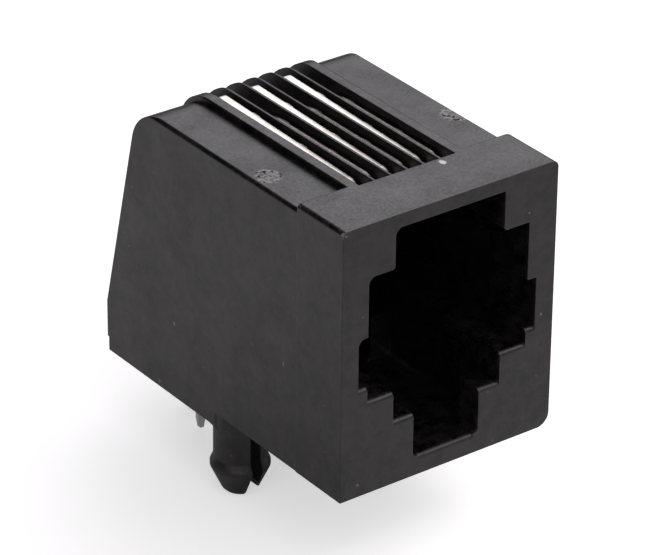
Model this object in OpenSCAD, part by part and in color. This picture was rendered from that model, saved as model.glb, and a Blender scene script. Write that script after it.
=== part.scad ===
// Side entry modular jack for a printed board: a one-piece moulded housing with a
// stepped plug port, a slotted comb along the top, two split snap pegs and six
// formed wire contacts. Millimetres. X runs across the port, Y into it and Z up.
// The origin lies on the top of the board, midway between the two pegs.

/* [Housing] */
// Width of the front flange
flange_w = 13.34; // [13.0:0.02:14.5]
// Height of the front flange
flange_h = 15.24; // [15.0:0.02:16.5]
// Depth of the front flange
flange_depth = 3.75; // [3.2:0.05:4.3]
// How far the flange stands right of the centre of the port
flange_shift = 0.06; // [0:0.01:0.1]
// How far the flange stands proud of the body on top
flange_step_top = 0.36; // [0.25:0.01:0.5]
// How far the flange stands proud of the body on the left
flange_step_left = 0.04; // [0.02:0.01:0.3]
// How far the flange stands proud of the body on the right
flange_step_right = 0.42; // [0.1:0.01:0.5]
// Depth of the whole housing, from the front face to the rear wall
housing_depth = 20.78; // [20.5:0.02:22]
// Height of the upright foot of the rear wall
rear_upright = 2.15; // [1.2:0.05:3]
// Angle at which the rear wall leans forward above that
rear_lean = 13.6; // [11.5:0.1:13.8]
// Radius between the rear wall and the top
rear_round = 2.5; // [2.3:0.05:2.8]
// Rounding along the upper left edge of the body
side_round = 0.22; // [0.1:0.01:0.4]
// Rounding along the upper right edge of the body
side_round_right = 0.08; // [0.05:0.01:0.3]
// Thickness of the rear wall
rear_wall = 0.55; // [0.4:0.01:0.6]

/* [Flange edges] */
// Rounding of the upper left edge
edge_top_left = 0.25; // [0.1:0.01:0.5]
// Rounding of the upper right edge
edge_top_right = 0.35; // [0.1:0.01:0.6]
// Rounding of the lower right edge
edge_low_right = 0.75; // [0.3:0.01:1.2]
// Rounding of the upright rear edge on the right
edge_rear_right = 0.4; // [0.1:0.01:0.42]

/* [Plug port] */
// Width of the contact well at the top
well_w = 6.8; // [6.4:0.05:7.2]
// Width of the plug channel
plug_w = 10; // [9.8:0.02:10.4]
// Width of the side keyways
keyway_w = 11.15; // [10.7:0.05:11.4]
// Width of the channel for the shoulders of the latch
shoulder_w = 6.75; // [6.3:0.05:7.2]
// Width of the slot for the latch tab
latch_w = 4.15; // [3.6:0.05:4.6]
// Height of the floor of the latch slot
latch_floor = 1.1; // [0.8:0.05:1.5]
// Height of the ledges beside the latch slot
shoulder_floor = 3.62; // [3.2:0.02:4]
// Height of the floor of the plug channel
plug_floor = 5.29; // [4.8:0.01:5.6]
// Height of the floor of the keyways
keyway_floor = 6.12; // [5.9:0.02:6.5]
// Height of the top of the keyways
keyway_top = 8.97; // [8.4:0.01:9.6]
// Height of the top of the plug channel
plug_top = 12.28; // [11.8:0.02:12.6]
// Thickness of the flange above the contact well
well_cover = 0.75; // [0.64:0.01:0.89]
// Rounding of the upper corners of the port on the left
port_round = 0.43; // [0.1:0.01:0.5]
// Rounding of the upper corners of the port on the right
crisp_round = 0.08; // [0.04:0.01:0.3]
// Rounding of the lower corners of the latch slot
latch_round = 0.32; // [0.1:0.01:0.36]
// Rounding of the two noses where the contact well opens into the plug channel
nose_round = 0.18; // [0.05:0.01:0.4]
// Rounding along the front of every floor of the port
lip_round = 0.26; // [0.1:0.01:0.4]
// Distance from the end of the port to the rear wall
port_to_rear = 7.18; // [6.9:0.02:7.5]
// Thickness of the front wall that the latch catches behind
catch_wall = 1.6; // [1.2:0.05:2.2]
// Depth at which the catch pocket behind that wall ends
catch_end = 9; // [7:0.1:11]

/* [Comb] */
// Distance from one contact to the next
pitch = 1.02; // [1.0:0.01:1.05]
// Number of contacts
contacts = 6; // [6]
// Thickness of a rib at its top
rib_t = 0.14; // [0.12:0.01:0.24]
// Extra width that a rib gains on each side down to the floor
rib_draft = 0.05; // [0.02:0.01:0.08]
// Width of the solid border on each side of the comb
border_w = 0.63; // [0.4:0.01:0.9]
// Rounding of the outer edges of the comb
comb_round = 0.12; // [0.05:0.01:0.2]
// Radius at the rear ends of the ribs
rib_round = 2.4; // [2.2:0.05:2.6]
// How far the grooves run into the flange
groove_bite = 0.18; // [0.05:0.01:0.3]
// Thickness of the roof between the grooves and the port
roof_t = 0.88; // [0.8:0.01:0.96]
// Depth of the rounded front edge of that roof, from the front face
roof_front = 4.81; // [4.6:0.01:5]

/* [Contacts] */
// Width of a contact wire
wire_w = 0.44; // [0.36:0.01:0.48]
// Thickness of a contact wire
wire_t = 0.3; // [0.24:0.01:0.32]
// Free gap between a wire and the plastic around it
wire_gap = 0.03; // [0.02:0.005:0.04]
// Width of the coined shoulders on a wire
coined_w = 0.58; // [0.54:0.01:0.62]
// Length of a coined shoulder
coined_len = 0.8; // [0.5:0.05:1.1]
// Rise of the odd wires along the comb, in degrees
odd_rise = 1.35; // [1.2:0.05:1.6]
// Angle of the springs below the horizontal
spring_angle = 28; // [26:0.5:30]
// Distance from the tip of a spring to the end of the port
spring_gap = 1.65; // [1.4:0.05:2.4]
// Length of the level tip of a spring
spring_tip = 0.9; // [0.5:0.05:1.2]
// Inner bend radius behind the comb
rear_bend = 0.2; // [0.15:0.01:0.3]
// Distance from one solder tail to the next along X
tail_pitch = 1.27; // [1.2:0.01:1.3]
// Distance between the two rows of solder tails
row_gap = 2.54; // [2.5:0.01:2.56]
// Distance from the pegs to the nearer row of tails
peg_to_row = 6.35; // [6.3:0.01:6.4]
// Reach of the solder tails below the top of the board
tail_reach = 4.2; // [3:0.05:4.6]
// Length of the tapered end of a tail
tail_taper = 0.6; // [0.3:0.05:0.9]

/* [Feet and pegs] */
// Height of the two standoff feet
foot_h = 0.8; // [0.6:0.02:1.2]
// Distance from the rear chamber to each foot
foot_gap = 0.12; // [0.05:0.01:0.6]
// Distance from the rear wall to the rear end of the feet
foot_inset = 0.12; // [0.05:0.01:0.4]
// Distance from the pegs to the rear wall
peg_to_rear = 10.08; // [9.98:0.02:10.18]
// Distance between the two pegs
peg_span = 10.16; // [10.1:0.02:10.2]
// Radius of the shank of a peg
peg_r = 1.42; // [1.3:0.01:1.46]
// Radius over the barb of a peg
barb_r = 1.6; // [1.5:0.01:1.7]
// Length of the straight land of the barb
barb_land = 0.2; // [0.16:0.01:0.5]
// Depth of the top of the barb below the top of the board
barb_top = 2.02; // [1.9:0.02:2.2]
// Length of the ramp above the barb
barb_ramp = 0.4; // [0.15:0.01:0.5]
// Reach of the pegs below the top of the board
peg_reach = 4.08; // [3.6:0.02:4.4]
// Radius of a peg just above its rounded tip
peg_tip_r = 1; // [0.8:0.01:1.1]
// Rounding of the tip of a peg
peg_tip_round = 0.16; // [0.1:0.01:0.3]
// Width of the slot that splits a peg
peg_slot = 0.65; // [0.4:0.01:0.9]
// How much further the slot opens at the tip, on the side of the port
peg_slot_open = 0.4; // [0.2:0.02:0.44]
// Height of that opening
peg_slot_flare = 0.7; // [0.3:0.05:1]
// Fillet between a peg and its foot
peg_fillet = 0.28; // [0.1:0.02:0.4]
// Rounding of the front outer corner of a foot
foot_round = 0.25; // [0.1:0.01:0.4]

/* [Rear chamber] */
// Width of the open chamber that the legs pass through
chamber_w = 7.9; // [7.6:0.05:8.3]
// Thickness of the wall between the port and the chamber
partition = 1; // [0.8:0.05:1.1]
// Height of the roof of the chamber
chamber_top = 12.4; // [11.8:0.05:12.8]

/* [Hidden] */
$fn = 64;
eps = 0.01;
over = 1;

// Heights below are above the underside of the flange, depths are behind its face
body_top = flange_h - flange_step_top;
flange_x0 = flange_shift - flange_w / 2;
flange_x1 = flange_shift + flange_w / 2;
body_x0 = flange_x0 + flange_step_left;
body_x1 = flange_x1 - flange_step_right;
port_depth = housing_depth - port_to_rear;
well_top = flange_h - well_cover;
peg_setback = housing_depth - peg_to_rear;
comb_w = contacts * pitch - rib_t + 2 * border_w;
groove_w = pitch - rib_t;
groove_front = flange_depth - groove_bite;

// The front bend of every wire wraps the rounded edge of the roof
wire_lift = 0.17;
roof_r = roof_t / 2;
bend_r = roof_r + wire_gap + wire_t / 2;
bend_y = roof_front + roof_r;
wire_z = well_top + wire_lift;
bend_z = wire_z - bend_r;
roof_under = bend_z - roof_r;
bend_turn = 180 - spring_angle;
bend_leg = bend_r * tan(bend_turn / 2);
apex_y = bend_y - bend_leg;
spring_reach = (port_depth - spring_gap - spring_tip - apex_y) / cos(spring_angle);

// Places along the wires, front to back
near_row = peg_setback + peg_to_row;
far_row = near_row + row_gap;
odd_turn = housing_depth - 4.73;
odd_straight = 12.4;
odd_landing = 9.6;
even_dip = housing_depth - 8.28;
even_knee = [housing_depth - 4.15, 13.8];
even_waist = [housing_depth - 3.6, 12.2];
even_landing = 3;
jog_top = 9;
jog_low = 4.4;
rear_r = rear_bend + wire_t / 2;
leg_bend = 0.6;
dip_bend = 1;
knee_bend = 0.5;
odd_coined = [odd_turn - 2.95, odd_turn - 6.95];
even_coined = [even_dip - 0.5, even_dip - 4.6];

// Fall of the groove floor from the knee of the even wires to the rear wall
floor_fall = 0.4;

function is_odd(k) = k % 2 == 1;
function contact_x(k) = (k - (contacts + 1) / 2) * pitch;
function tail_x(k) = (k - (contacts + 1) / 2) * tail_pitch;
function top_z(k, y) = wire_z + (is_odd(k) ? (y - bend_y) * tan(odd_rise) : 0);

// Depth of the outer face of the rear wall at a height
function rear_y(z) = housing_depth - max(0, z - rear_upright) * tan(rear_lean);

// Corner points of the wires in side view, as [depth, height, bend radius]
function spring_end() = [apex_y, wire_z] + spring_reach * [cos(spring_angle), -sin(spring_angle)];
function front_run(k) = [
    concat(spring_end() + [spring_tip, 0], 0),
    concat(spring_end(), leg_bend),
    [apex_y, wire_z, bend_r]
];
function odd_leg() = [
    [odd_turn, top_z(1, odd_turn), rear_r],
    [odd_turn, odd_straight, leg_bend],
    [near_row, odd_landing, leg_bend],
    [near_row, -foot_h - tail_reach, 0]
];
function even_leg() = [
    [even_dip, wire_z, dip_bend],
    concat(even_knee, knee_bend),
    concat(even_waist, dip_bend),
    [far_row, even_landing, leg_bend],
    [far_row, -foot_h - tail_reach, 0]
];
function wire_path(k) = concat(front_run(k), is_odd(k) ? odd_leg() : even_leg());

// Rounds the corners of an open path into short chords
function unit(v) = v / norm(v);
function xy(p) = [p[0], p[1]];
function turn_at(a, b, c) = let (u = unit(b - a), v = unit(c - b))
    atan2(u[0] * v[1] - u[1] * v[0], u * v);
function arc_points(a, b, c, r) = let (
    turn = turn_at(a, b, c),
    side = sign(turn),
    u = unit(b - a),
    start = b - u * r * tan(abs(turn) / 2),
    centre = start + side * r * [-u[1], u[0]],
    steps = max(2, ceil(abs(turn) / 15))
) [for (i = [0:steps]) let (q = turn * i / steps)
    centre + [[cos(q), -sin(q)], [sin(q), cos(q)]] * (start - centre)];
function rounded_path(p) = [for (i = [0:len(p) - 1])
    each (i == 0 || i == len(p) - 1 || p[i][2] == 0)
        ? [xy(p[i])]
        : arc_points(xy(p[i - 1]), xy(p[i]), xy(p[i + 1]), p[i][2])];

// Outline of a strip of even thickness along a path
function miter(p, i) = let (
    u = unit(p[min(i + 1, len(p) - 1)] - p[min(i, len(p) - 2)]),
    v = unit(p[max(i, 1)] - p[max(i - 1, 0)]),
    n = unit([-(u + v)[1], (u + v)[0]])
) n / (n * [-u[1], u[0]]);
function strip(p, t) = concat(
    [for (i = [0:len(p) - 1]) p[i] + miter(p, i) * t / 2],
    [for (i = [len(p) - 1:-1:0]) p[i] - miter(p, i) * t / 2]
);

// Extrudes a side view drawn as [depth, height] across X
module across(w) {
    rotate([90, 0, 90])
        linear_extrude(height = w, center = true)
            children();
}

// Extrudes a front view drawn as [x, height] from one depth to another
module inward(y0, y1) {
    translate([0, y1, 0])
        rotate([90, 0, 0])
            linear_extrude(height = y1 - y0)
                children();
}

// Moves a piece from flange measurements to the board origin
module on_board() {
    translate([0, -peg_setback, foot_h])
        children();
}

// What a round of radius r takes from a corner that points along dir
module corner_waste(corner, dir, r) {
    if (r > 0)
        difference() {
            translate([corner[0] - (dir[0] > 0 ? r : eps), corner[1] - (dir[1] > 0 ? r : eps)])
                square([r + eps, r + eps]);
            translate([corner[0] - dir[0] * r, corner[1] - dir[1] * r])
                circle(r);
        }
}

// A rectangle with its own radius at each corner: low left, low right, top right, top left
module panel(x0, x1, z0, z1, r) {
    difference() {
        translate([x0, z0])
            square([x1 - x0, z1 - z0]);
        corner_waste([x0, z0], [-1, -1], r[0]);
        corner_waste([x1, z0], [1, -1], r[1]);
        corner_waste([x1, z1], [1, 1], r[2]);
        corner_waste([x0, z1], [-1, 1], r[3]);
    }
}

module centred_panel(w, z0, z1, r_low, r_top) {
    panel(-w / 2, w / 2, z0, z1, [r_low, r_low, r_top, r_top]);
}

module flange() {
    intersection() {
        inward(0, flange_depth)
            panel(flange_x0, flange_x1, 0, flange_h,
                [0, edge_low_right, edge_top_right, edge_top_left]);
        linear_extrude(height = flange_h)
            panel(flange_x0, flange_x1, 0, flange_depth, [0, 0, edge_rear_right, 0]);
    }
}

// Side view of everything behind the flange up to a height, with a rounded rear corner
module profile(top, r) {
    lean = [-sin(rear_lean), cos(rear_lean)];
    corner = [rear_y(top), top];
    reach = r * tan((90 - rear_lean) / 2);
    difference() {
        polygon([
            [flange_depth - over, 0],
            [housing_depth, 0],
            [housing_depth, rear_upright],
            corner,
            [flange_depth - over, top]
        ]);
        difference() {
            polygon([
                corner + [eps, eps],
                corner - [reach, -eps],
                corner + [-reach, -r],
                corner - lean * reach + [eps, 0]
            ]);
            translate(corner - [reach, r])
                circle(r);
        }
    }
}

module body() {
    intersection() {
        across(2 * flange_w)
            profile(body_top, rear_round);
        inward(flange_depth - over, housing_depth)
            panel(body_x0, body_x1, 0, body_top, [0, 0, side_round_right, side_round]);
    }
}

module comb() {
    intersection() {
        across(comb_w)
            profile(flange_h, rib_round);
        inward(flange_depth - over, housing_depth)
            centred_panel(comb_w, 0, flange_h, 0, comb_round);
    }
}

// One level of the port: low corners of radius r, the upper ones rounder on the left
module port_level(w, z0, z1, r) {
    panel(-w / 2, w / 2, z0, z1, [r, r, crisp_round, port_round]);
}

module port_outline() {
    port_level(well_w, plug_floor, well_top, 0);
    port_level(plug_w, plug_floor, plug_top, 0);
    port_level(keyway_w, keyway_floor, keyway_top, 0);
    port_level(shoulder_w, shoulder_floor, plug_floor + over, 0);
    port_level(latch_w, latch_floor, shoulder_floor + over, latch_round);
    for (side = [-1, 1])
        corner_waste([side * well_w / 2, plug_top], [-side, -1], nose_round);
}

// What the rounded front lip of one floor of the port takes away
module floor_lip(w, z) {
    across(w)
        difference() {
            translate([-over, z - lip_round])
                square([over + lip_round, lip_round + eps]);
            translate([lip_round, z - lip_round])
                circle(lip_round);
        }
}

module port() {
    difference() {
        inward(-over, port_depth)
            port_outline();
        translate([-well_w, groove_front, roof_under])
            cube([2 * well_w, port_depth, flange_h]);
    }
    floor_lip(latch_w - 2 * latch_round, latch_floor);
    floor_lip(shoulder_w, shoulder_floor);
    floor_lip(plug_w, plug_floor);
    floor_lip(keyway_w, keyway_floor);
    inward(catch_wall, catch_end)
        centred_panel(shoulder_w, latch_floor, shoulder_floor + over, latch_round, 0);
}

// Side view of the roof that the wires lie on, with its rounded front edge
module roof(k) {
    lift = roof_r / cos(is_odd(k) ? odd_rise : 0);
    translate([bend_y, bend_z])
        circle(roof_r);
    polygon([
        [bend_y, bend_z - roof_r],
        [bend_y, bend_z + lift],
        [odd_turn, bend_z + lift + top_z(k, odd_turn) - wire_z],
        [odd_turn, bend_z - roof_r]
    ]);
}

// Side view of the groove over one wire, open at the rear of the comb
module groove(k) {
    drop = even_knee[1] - wire_t;
    back = is_odd(k) ? odd_turn : even_dip;
    ledge = is_odd(k) ? drop : bend_z + roof_r;
    difference() {
        polygon([
            [groove_front, roof_under - eps],
            [groove_front, flange_h + over],
            [housing_depth, flange_h + over],
            [housing_depth, drop - floor_fall],
            [even_knee[0], drop],
            [back, ledge],
            [back, roof_under - eps]
        ]);
        intersection() {
            roof(k);
            square([back, flange_h]);
        }
    }
}

module groove_section() {
    polygon([
        [-groove_w / 2, flange_h + over],
        [groove_w / 2, flange_h + over],
        [groove_w / 2, flange_h],
        [groove_w / 2 - rib_draft, wire_z - wire_t],
        [groove_w / 2 - rib_draft, 0],
        [-groove_w / 2 + rib_draft, 0],
        [-groove_w / 2 + rib_draft, wire_z - wire_t],
        [-groove_w / 2, flange_h]
    ]);
}

module grooves() {
    for (k = [1:contacts])
        translate([contact_x(k), 0, 0])
            intersection() {
                across(pitch)
                    groove(k);
                inward(groove_front - eps, housing_depth + over)
                    groove_section();
            }
}

// The way of one wire through the plastic, with its running gap
module wire_way(k) {
    translate([contact_x(k), 0, 0])
        across(wire_w + 2 * wire_gap)
            polygon(strip(rounded_path(wire_path(k)), wire_t + 2 * wire_gap));
}

module chamber() {
    chamber_y = port_depth + partition;
    across(chamber_w)
        polygon([
            [chamber_y, -over],
            [housing_depth - rear_wall, -over],
            [housing_depth - rear_wall, rear_upright],
            [rear_y(chamber_top) - rear_wall, chamber_top],
            [chamber_y, chamber_top]
        ]);
}

module foot_plan(side) {
    inner = chamber_w / 2 + foot_gap;
    y0 = peg_setback;
    y1 = housing_depth - foot_inset;
    if (side < 0)
        panel(body_x0, -inner, y0, y1, [foot_round, 0, 0, 0]);
    else
        panel(inner, body_x1, y0, y1, [0, foot_round, 0, 0]);
}

module foot(side) {
    translate([0, 0, -foot_h])
        linear_extrude(height = foot_h + over)
            foot_plan(side);
}

module peg_profile() {
    polygon([
        [0, foot_h],
        [peg_r, foot_h],
        [peg_r, -barb_top],
        [barb_r, -barb_top - barb_ramp],
        [barb_r, -barb_top - barb_ramp - barb_land],
        [peg_tip_r, -peg_reach + peg_tip_round],
        [peg_tip_r - peg_tip_round, -peg_reach],
        [0, -peg_reach]
    ]);
}

// Section of the fillet round a peg, below its foot
module fillet_profile() {
    difference() {
        translate([0, -peg_fillet])
            square([peg_r + peg_fillet, peg_fillet + eps]);
        translate([peg_r + peg_fillet, -peg_fillet])
            circle(peg_fillet);
    }
}

// The slot is straight on the outer side and opens toward the port on the other
module slot_outline(side) {
    half = peg_slot / 2;
    polygon([
        [side * half, 0],
        [-side * half, 0],
        [-side * half, -peg_reach + peg_slot_flare],
        [-side * (half + peg_slot_open), -peg_reach - eps],
        [side * half, -peg_reach - eps]
    ]);
}

module peg(side) {
    place = [side * peg_span / 2, peg_setback, -foot_h];
    difference() {
        union() {
            translate(place)
                rotate_extrude()
                    peg_profile();
            intersection() {
                translate(place)
                    rotate_extrude()
                        fillet_profile();
                translate([0, 0, -foot_h - peg_fillet])
                    linear_extrude(height = peg_fillet + 2 * eps)
                        foot_plan(side);
            }
        }
        translate(place)
            inward(-2 * barb_r, 2 * barb_r)
                slot_outline(side);
    }
}

module housing() {
    color("dimgray")
        on_board() {
            difference() {
                union() {
                    flange();
                    body();
                    comb();
                }
                port();
                grooves();
                chamber();
                for (k = [1:contacts])
                    wire_way(k);
            }
            for (side = [-1, 1]) {
                foot(side);
                peg(side);
            }
        }
}

// Front view of a wire: straight down to the jog, then spread to the tail pitch
module wire_front(k) {
    shift = tail_x(k) - contact_x(k);
    tip = -foot_h - tail_reach;
    half = wire_w / 2;
    point = wire_w / 4;
    polygon([
        [-half, flange_h],
        [half, flange_h],
        [half, jog_top],
        [shift + half, jog_low],
        [shift + half, tip + tail_taper],
        [shift + point, tip],
        [shift - point, tip],
        [shift - half, tip + tail_taper],
        [shift - half, jog_low],
        [-half, jog_top]
    ]);
}

// Plan of one coined shoulder
module coined_plan(y) {
    half = coined_len / 2;
    ramp = coined_len / 4;
    polygon([
        [-wire_w / 2, y - half],
        [wire_w / 2, y - half],
        [coined_w / 2, y - half + ramp],
        [coined_w / 2, y + half - ramp],
        [wire_w / 2, y + half],
        [-wire_w / 2, y + half],
        [-coined_w / 2, y + half - ramp],
        [-coined_w / 2, y - half + ramp]
    ]);
}

module contact(k) {
    side_view = strip(rounded_path(wire_path(k)), wire_t);
    color("gainsboro")
        on_board()
            translate([contact_x(k), 0, 0]) {
                intersection() {
                    across(4 * pitch)
                        polygon(side_view);
                    inward(0, housing_depth)
                        wire_front(k);
                }
                for (y = is_odd(k) ? odd_coined : even_coined)
                    intersection() {
                        across(pitch)
                            polygon(side_view);
                        translate([0, 0, bend_z])
                            linear_extrude(height = flange_h - bend_z)
                                coined_plan(y);
                    }
            }
}

housing();
contact(1);  // contact_1
contact(2);  // contact_2
contact(3);  // contact_3
contact(4);  // contact_4
contact(5);  // contact_5
contact(6);  // contact_6
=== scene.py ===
import math

import bpy
from mathutils import Euler, Matrix, Vector


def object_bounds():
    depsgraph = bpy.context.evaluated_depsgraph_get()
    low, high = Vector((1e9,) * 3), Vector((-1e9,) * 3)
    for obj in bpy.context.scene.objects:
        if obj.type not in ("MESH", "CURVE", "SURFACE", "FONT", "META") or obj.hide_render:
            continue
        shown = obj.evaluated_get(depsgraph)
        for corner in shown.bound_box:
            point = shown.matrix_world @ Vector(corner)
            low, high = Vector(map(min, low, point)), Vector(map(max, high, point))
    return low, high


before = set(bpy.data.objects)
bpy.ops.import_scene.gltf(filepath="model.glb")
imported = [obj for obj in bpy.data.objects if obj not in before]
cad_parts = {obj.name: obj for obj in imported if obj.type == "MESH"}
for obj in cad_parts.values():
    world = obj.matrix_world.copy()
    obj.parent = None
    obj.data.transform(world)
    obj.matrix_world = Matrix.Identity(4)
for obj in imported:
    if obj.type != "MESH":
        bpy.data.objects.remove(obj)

CAD_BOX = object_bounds()
FLOOR_Z = CAD_BOX[0][2]
MM = 0.001
WHITE = (1, 1, 1)

# The photograph's viewing angle: place in metres, turns in degrees, lens in millimetres
CAMERA_PLACE = (-0.10952, -0.14708, 0.10764)
CAMERA_DOWN = 28.82
CAMERA_RIGHT = 36.88
CAMERA_ROLL = 0.65
CAMERA_LENS = 218.8
CAMERA_SENSOR = 36

# The room lights the object from overhead and is dark low down. Heights are those of a
# direction of length one.
ROOM_TINT = (1, 0.963, 0.992)
ROOM_LEVEL = 0.98
ROOM_DARK_Z, ROOM_BRIGHT_Z = 0.1, 0.4
ROOM_DARK = 0.02

# A dark flag behind the object on the left, which its rounded edges show as dark lines.
# The rim is given as cosines of the angle from the middle.
FLAG_TOWARDS = (-0.48, 0.7, 0.53)
FLAG_OUTER, FLAG_INNER = 0.58, 0.68
FLAG_DARK = 0.01

LAMPS_AIM = (0, 0, 0.006)
FLOOR_REACH = 0.1
FLOOR_COLOUR = (0.9, 0.9, 0.9)
FLOOR_ROUGH = 0.9
FLOOR_LIFT = 0.55

# Colours of the housing
# Soot black serves both the random dark smudges and the painted shade inside the port
SOOT_AND_SHADE_BLACK = (0.0004, 0.0004, 0.0004)
COOL_BLACK = (0.0004, 0.0004, 0.0007)
PIT_BLACK = (0.0005, 0.0005, 0.0005)
WARM_BLACK = (0.0165, 0.0112, 0.0122)
PALE_BLACK = (0.0168, 0.0152, 0.016)
SPECK_GREY = (0.07, 0.068, 0.066)
WORN_GREY = (0.13, 0.128, 0.125)
DUST_GREY = (0.16, 0.158, 0.15)
NICK_GREY = (0.2, 0.195, 0.19)
WITNESS_GREY = (0.36, 0.352, 0.345)
FLASH_GREY = (0.75, 0.73, 0.7)

# Colours of the contacts
DULL_TIN = (0.76, 0.71, 0.64)
BRIGHT_TIN = (0.88, 0.845, 0.79)
# painted light: a pale colour for the tails, which lifts them out of shade
PAINTED_LIGHT_PALE = (0.93, 0.92, 0.86)

PLASTIC_IOR = 1.58
BEVEL_SAMPLES = 6

# Faces of the housing that the small marks lie on, in millimetres
LEFT_X = -6.6
FLANGE_LEFT_X = -6.61
FLANGE_FRONT_Y = -10.7
FLANGE_REAR_Y = -6.98
FLANGE_CORNER_Z = 15.95
FLANGE_TOP_Z = 16.04
BODY_TOP_Z = 15.68

# Small marks on the housing: centre and radius in millimetres, and a seed for the rim
WITNESS_MARKS = (
    ((-5.63, -3.2, BODY_TOP_Z), 0.68, 20),
    ((6.1, -3.15, BODY_TOP_Z), 0.75, 22),
)
FLASH_CHIP = ((1.88, -7.55, FLANGE_TOP_Z), 0.17, 31)
NICKS = (
    ((FLANGE_LEFT_X, FLANGE_FRONT_Y, FLANGE_CORNER_Z), 0.24, 61),
    ((FLANGE_LEFT_X, FLANGE_REAR_Y, FLANGE_CORNER_Z), 0.2, 62),
)
DUST_STREAKS = (
    ((LEFT_X, 3.8, 4.4), 0.08, 32),
    ((LEFT_X, -5.8, 6.5), 0.07, 33),
)
DUST_GRAINS = (
    ((LEFT_X, 7.5, 10.8), 0.06, 34),
    ((LEFT_X, 5.2, 0.3), 0.09, 35),
    ((5.96, FLANGE_FRONT_Y, 7.5), 0.08, 36),
    ((4.96, FLANGE_FRONT_Y, 13.6), 0.06, 37),
    ((-5.54, FLANGE_FRONT_Y, 1.5), 0.07, 38),
)

# The port up to the top of the plug channel, and the contact well above it, in millimetres
PORT_BOXES = (
    ((-5.8, -10.45, 1.5), (5.8, 3.2, 13.2)),
    ((-3.5, -10.45, 13), (3.5, -7.1, 15.35)),
)


class Nodes:
    """Builds the nodes of a material or of the world with short calls.

    A value is a number, a colour, a vector or the output of another node.
    """

    def __init__(self, owner, coordinates=None):
        owner.use_nodes = True
        self.tree = owner.node_tree
        if coordinates:
            self.place = self.new("ShaderNodeTexCoord").outputs[coordinates]

    def put(self, value, socket):
        """Links an output to a socket, or sets the socket's own value."""
        if isinstance(value, bpy.types.NodeSocket):
            self.tree.links.new(value, socket)
        elif socket.type == "RGBA":
            socket.default_value = (*value, 1)
        else:
            socket.default_value = value

    def fill(self, node, inputs):
        for name, value in inputs.items():
            self.put(value, node.inputs[name])

    def new(self, kind, inputs=None, **settings):
        node = self.tree.nodes.new(kind)
        for key, value in settings.items():
            setattr(node, key, value)
        self.fill(node, inputs or {})
        return node

    def math(self, operation, a, b, clamp=False):
        node = self.new("ShaderNodeMath", {0: a, 1: b}, operation=operation, use_clamp=clamp)
        return node.outputs[0]

    def vector(self, operation, a, b=(0, 0, 0)):
        node = self.new("ShaderNodeVectorMath", {0: a, 1: b}, operation=operation)
        return node.outputs["Value" if operation in ("LENGTH", "DOT_PRODUCT") else "Vector"]

    def parts(self, vector):
        return self.new("ShaderNodeSeparateXYZ", {0: vector}).outputs

    def highest(self, values):
        top = values[0]
        for value in values[1:]:
            top = self.math("MAXIMUM", top, value)
        return top

    def swing(self, noise, amount):
        """A noise moved to swing round zero, over the given range."""
        return self.math("MULTIPLY", self.math("SUBTRACT", noise, 0.5), amount)

    def rise(self, value, low, high, out_low=0.0, out_high=1.0):
        """A smooth step from out_low to out_high as the value goes from low to high."""
        inputs = {"Value": value, "From Min": low, "From Max": high,
                  "To Min": out_low, "To Max": out_high}
        node = self.new("ShaderNodeMapRange", inputs, interpolation_type="SMOOTHSTEP")
        return node.outputs["Result"]

    def fall(self, value, low, high):
        return self.rise(value, low, high, 1.0, 0.0)

    def mix(self, share, a, b):
        """The colour b laid over the colour a."""
        node = self.new("ShaderNodeMix", {"Factor": share}, data_type="RGBA")
        for colour, socket in zip((a, b), [s for s in node.inputs if s.type == "RGBA"]):
            self.put(colour, socket)
        return next(s for s in node.outputs if s.type == "RGBA")

    def mix_shaders(self, share, a, b):
        inputs = {0: share, 1: a.outputs[0], 2: b.outputs[0]}
        return self.new("ShaderNodeMixShader", inputs).outputs[0]

    def camera_ray(self):
        return self.new("ShaderNodeLightPath").outputs["Is Camera Ray"]

    def noise(self, scale, detail, rough, stretch=(1, 1, 1), shift=0.0, output="Fac"):
        """Scale is in cycles a millimetre. A stretch below one draws the noise out."""
        where = self.vector("MULTIPLY", self.place, [s / MM for s in stretch])
        where = self.vector("ADD", where, (shift, shift, shift))
        inputs = {"Vector": where, "Scale": scale, "Detail": detail, "Roughness": rough}
        return self.new("ShaderNodeTexNoise", inputs).outputs[output]

    def spot(self, centre, radius, seed, soft, wobble, stretch=(1, 1, 1)):
        """A small patch with a soft and uneven rim. Centre and radius are in millimetres."""
        noise = self.noise(1.1 / radius, 2, 0.6, shift=seed, output="Color")
        bend = self.vector("SUBTRACT", noise, (0.5, 0.5, 0.5))
        bend = self.vector("MULTIPLY", bend, (2 * wobble * radius * MM,) * 3)
        away = self.vector("ADD", self.place, bend)
        away = self.vector("SUBTRACT", away, [c * MM for c in centre])
        away = self.vector("MULTIPLY", away, [s / (radius * MM) for s in stretch])
        return self.fall(self.vector("LENGTH", away), 1 - soft, 1 + soft)

    def within(self, low, high):
        """One inside a box given in millimetres, zero outside it."""
        inside = 1.0
        for axis, a, b in zip(self.parts(self.place), low, high):
            inside = self.math("MULTIPLY", inside, self.math("GREATER_THAN", axis, a * MM))
            inside = self.math("MULTIPLY", inside, self.math("LESS_THAN", axis, b * MM))
        return inside

    def relief(self, edge, height, strength, depth):
        """A normal with softened edges and a bump. Edge and depth are in millimetres."""
        bevel = self.new("ShaderNodeBevel", {"Radius": edge * MM}, samples=BEVEL_SAMPLES)
        inputs = {"Strength": strength, "Distance": depth * MM,
                  "Height": height, "Normal": bevel.outputs["Normal"]}
        return self.new("ShaderNodeBump", inputs).outputs["Normal"]


# Camera, light and floor

def link(thing):
    bpy.context.scene.collection.objects.link(thing)


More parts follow.
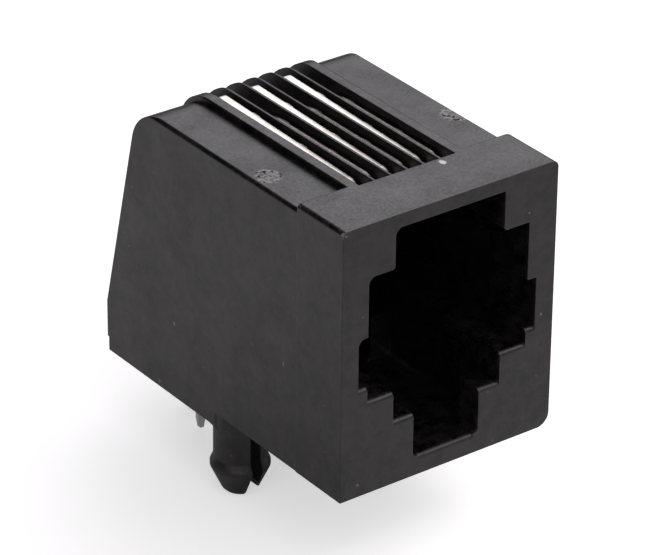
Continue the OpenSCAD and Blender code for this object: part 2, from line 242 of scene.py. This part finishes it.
def add_camera():
    data = bpy.data.cameras.new("camera")
    data.sensor_width = CAMERA_SENSOR
    data.lens = CAMERA_LENS
    data.clip_start = 0.01
    data.clip_end = 10
    camera = bpy.data.objects.new("camera", data)
    camera.location = CAMERA_PLACE
    turn = Euler((math.radians(90 - CAMERA_DOWN), 0, math.radians(-CAMERA_RIGHT))).to_matrix()
    roll = Matrix.Rotation(math.radians(CAMERA_ROLL), 3, "Z")
    camera.rotation_euler = (turn @ roll).to_euler()
    link(camera)
    bpy.context.scene.camera = camera


def add_softbox(name, place, size, power, tint):
    data = bpy.data.lights.new(name, "AREA")
    data.shape = "SQUARE"
    data.size = size
    data.energy = power
    data.color = tint
    lamp = bpy.data.objects.new(name, data)
    lamp.location = place
    aim = Vector(LAMPS_AIM) - lamp.location
    lamp.rotation_euler = aim.to_track_quat("-Z", "Y").to_euler()
    link(lamp)


def add_world():
    world = bpy.data.worlds.new("studio")
    n = Nodes(world, "Generated")
    towards = n.vector("DOT_PRODUCT", n.place, Vector(FLAG_TOWARDS).normalized())
    flag = n.rise(towards, FLAG_OUTER, FLAG_INNER, ROOM_LEVEL, FLAG_DARK)
    overhead = n.rise(n.parts(n.place)["Z"], ROOM_DARK_Z, ROOM_BRIGHT_Z, ROOM_DARK)
    room = n.tree.nodes["Background"]
    n.fill(room, {"Color": ROOM_TINT, "Strength": n.math("MULTIPLY", flag, overhead)})

    # The camera itself sees plain white behind the object
    white = n.new("ShaderNodeBackground", {"Color": WHITE, "Strength": 1})
    surface = n.mix_shaders(n.camera_ray(), room, white)
    n.put(surface, n.tree.nodes["World Output"].inputs["Surface"])
    bpy.context.scene.world = world


def add_floor():
    mesh = bpy.data.meshes.new("floor")
    corners = [(x * FLOOR_REACH, y * FLOOR_REACH, FLOOR_Z)
               for x, y in ((-1, -1), (1, -1), (1, 1), (-1, 1))]
    mesh.from_pydata(corners, [], [(0, 1, 2, 3)])
    floor = bpy.data.objects.new("floor", mesh)
    link(floor)

    # To the camera the floor is lifted almost to white
    material = bpy.data.materials.new("floor")
    n = Nodes(material)
    seen = n.camera_ray()
    shader = n.tree.nodes["Principled BSDF"]
    n.fill(shader, {
        "Base Color": FLOOR_COLOUR,
        "Roughness": FLOOR_ROUGH,
        "Specular IOR Level": 0,
        "Emission Color": WHITE,
        "Emission Strength": n.math("MULTIPLY", seen, FLOOR_LIFT),
    })

    # Seen from below, the floor is clear and shows the underside of the object
    below = n.new("ShaderNodeNewGeometry").outputs["Backfacing"]
    clear = n.new("ShaderNodeBsdfTransparent")
    surface = n.mix_shaders(n.math("MULTIPLY", below, seen), shader, clear)
    n.put(surface, n.tree.nodes["Material Output"].inputs["Surface"])
    mesh.materials.append(material)


# Materials

def witness_marks(n):
    """Round marks of the mould on both sides of the comb: the marks, and the pits in them."""
    marks, pits = [], []
    oval = (1, 0.9, 1)
    for centre, radius, seed in WITNESS_MARKS:
        disc = n.spot(centre, radius, seed, soft=0.16, wobble=0.2, stretch=oval)
        core = n.spot(centre, 0.6 * radius, seed + 4, soft=0.3, wobble=0.3, stretch=oval)
        ring = n.math("SUBTRACT", disc, n.math("MULTIPLY", core, 0.3), clamp=True)
        patchy = n.rise(n.noise(4.5, 3, 0.7, shift=seed - 9), 0.42, 0.52)
        marks.append(n.math("MULTIPLY", ring, patchy))
        pitted = n.rise(n.noise(3.4, 2, 0.6, shift=seed + 9), 0.58, 0.62)
        pits.append(n.math("MULTIPLY", disc, pitted))
    return n.highest(marks), n.highest(pits)


def worn_edges(n):
    """Sharp edges, in patches: where the bevelled normal turns away from the flat one."""
    bevel = n.new("ShaderNodeBevel", {"Radius": 0.09 * MM}, samples=BEVEL_SAMPLES)
    flat = n.new("ShaderNodeNewGeometry").outputs["Normal"]
    edge = n.fall(n.vector("DOT_PRODUCT", bevel.outputs["Normal"], flat), 0.8, 0.99)
    return n.math("MULTIPLY", edge, n.rise(n.noise(3.2, 3, 0.65, shift=41), 0.6, 0.68))


def nicked_corners(n):
    nicks = n.highest([n.spot(*nick, soft=0.3, wobble=0.7) for nick in NICKS])
    return n.math("MULTIPLY", nicks, n.rise(n.noise(7, 2, 0.6, shift=63), 0.47, 0.56))


def dust(n):
    tall = (1, 1, 0.5)
    streaks = [n.spot(*dot, soft=0.3, wobble=0.6, stretch=tall) for dot in DUST_STREAKS]
    grains = [n.spot(*dot, soft=0.3, wobble=0.5) for dot in DUST_GRAINS]
    return n.highest(streaks + grains)


def housing_material():
    material = bpy.data.materials.new("housing_plastic")
    n = Nodes(material, "Object")
    fine = n.noise(6, 4, 0.6)
    broad = n.noise(0.35, 3, 0.55, shift=7)
    cloud = n.noise(1.3, 4, 0.6, shift=3)
    mottle = n.math("ADD", n.math("MULTIPLY", cloud, 0.65), n.math("MULTIPLY", fine, 0.35))
    smudge = n.noise(1.7, 4, 0.7, stretch=(1, 0.55, 1), shift=53)
    marked, pitted = witness_marks(n)
    chip = n.spot(*FLASH_CHIP, soft=0.25, wobble=0.5, stretch=(1, 0.75, 1))
    cells = n.new("ShaderNodeTexVoronoi", {"Vector": n.place, "Scale": 0.75 / MM})

    # The port is painted darker, as painted shade in the recess, and the polished core of the
    # mould leaves it glossier
    port_shade_and_polish = n.highest([n.within(low, high) for low, high in PORT_BOXES])

    # Mottled black plastic, what lies on it and the painted shade in the port, one over the
    # other: share, strength, colour
    colour = COOL_BLACK
    for share, strength, tint in (
        (n.rise(mottle, 0.4, 0.62), 1, PALE_BLACK),
        (n.rise(n.noise(0.8, 3, 0.6, shift=29), 0.45, 0.62), 0.5, WARM_BLACK),
        (n.rise(smudge, 0.6, 0.68), 0.8, SOOT_AND_SHADE_BLACK),
        (marked, 0.9, WITNESS_GREY),
        (pitted, 1, PIT_BLACK),
        (worn_edges(n), 0.7, WORN_GREY),
        (nicked_corners(n), 1, NICK_GREY),
        (dust(n), 0.8, DUST_GREY),
        (n.fall(cells.outputs["Distance"], 0.035, 0.06), 0.8, SPECK_GREY),
        (chip, 1, FLASH_GREY),
        # painted shade: the inside of the port is darkened towards a near black
        (port_shade_and_polish, 0.2, SOOT_AND_SHADE_BLACK),
    ):
        colour = n.mix(n.math("MULTIPLY", share, strength), colour, tint)

    rough = n.math("ADD", 0.4, n.swing(broad, 0.25))
    rough = n.math("ADD", rough, n.swing(fine, 0.4))
    rough = n.math("ADD", rough, n.math("MULTIPLY", marked, 0.2), clamp=True)
    rough = n.math("ADD", rough, n.math("MULTIPLY", pitted, 0.5), clamp=True)
    polish = n.math("SUBTRACT", 1, n.math("MULTIPLY", port_shade_and_polish, 0.25))

    height = n.math("ADD", n.math("MULTIPLY", fine, 0.5), n.math("MULTIPLY", cloud, 0.8))
    height = n.math("ADD", height, n.math("MULTIPLY", marked, 0.5))
    n.fill(n.tree.nodes["Principled BSDF"], {
        "Base Color": colour,
        "Roughness": n.math("MULTIPLY", rough, polish),
        "IOR": PLASTIC_IOR,
        "Normal": n.relief(0.07, height, strength=0.5, depth=0.02),
    })
    return material


def contact_material():
    material = bpy.data.materials.new("contact_plating")
    n = Nodes(material, "Object")
    streak = n.noise(7, 3, 0.6, stretch=(1, 0.06, 0.06))
    cloud = n.noise(1.6, 3, 0.6, shift=5)
    plated = n.mix(n.rise(cloud, 0.35, 0.65), DULL_TIN, BRIGHT_TIN)

    # The tails, below the board and up to a millimetre above it, are painted paler and made
    # less metallic: painted light that lifts them out of the shade under the object
    painted_light_tails = n.fall(n.parts(n.place)["Z"], 0, 1 * MM)
    n.fill(n.tree.nodes["Principled BSDF"], {
        "Base Color": n.mix(painted_light_tails, plated, PAINTED_LIGHT_PALE),
        "Metallic": n.math("SUBTRACT", 1, n.math("MULTIPLY", painted_light_tails, 0.75)),
        "Roughness": n.math("ADD", 0.36, n.swing(streak, 0.25)),
        "Normal": n.relief(0.05, streak, strength=0.4, depth=0.01),
    })
    return material


def dress(node, material):
    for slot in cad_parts[node].material_slots:
        slot.material = material


bpy.context.scene.view_settings.view_transform = "Standard"
add_camera()
add_world()
add_softbox("key", (0.21, 0.28, 0.27), size=0.28, power=0.245, tint=(0.95, 0.935, 1))
add_softbox("fill", (0.19, -0.17, 0.26), size=0.075, power=0.09, tint=(1, 0.98, 0.97))
add_floor()

plating = contact_material()
dress("housing", housing_material())
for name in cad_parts:
    if name.startswith("contact"):
        dress(name, plating)
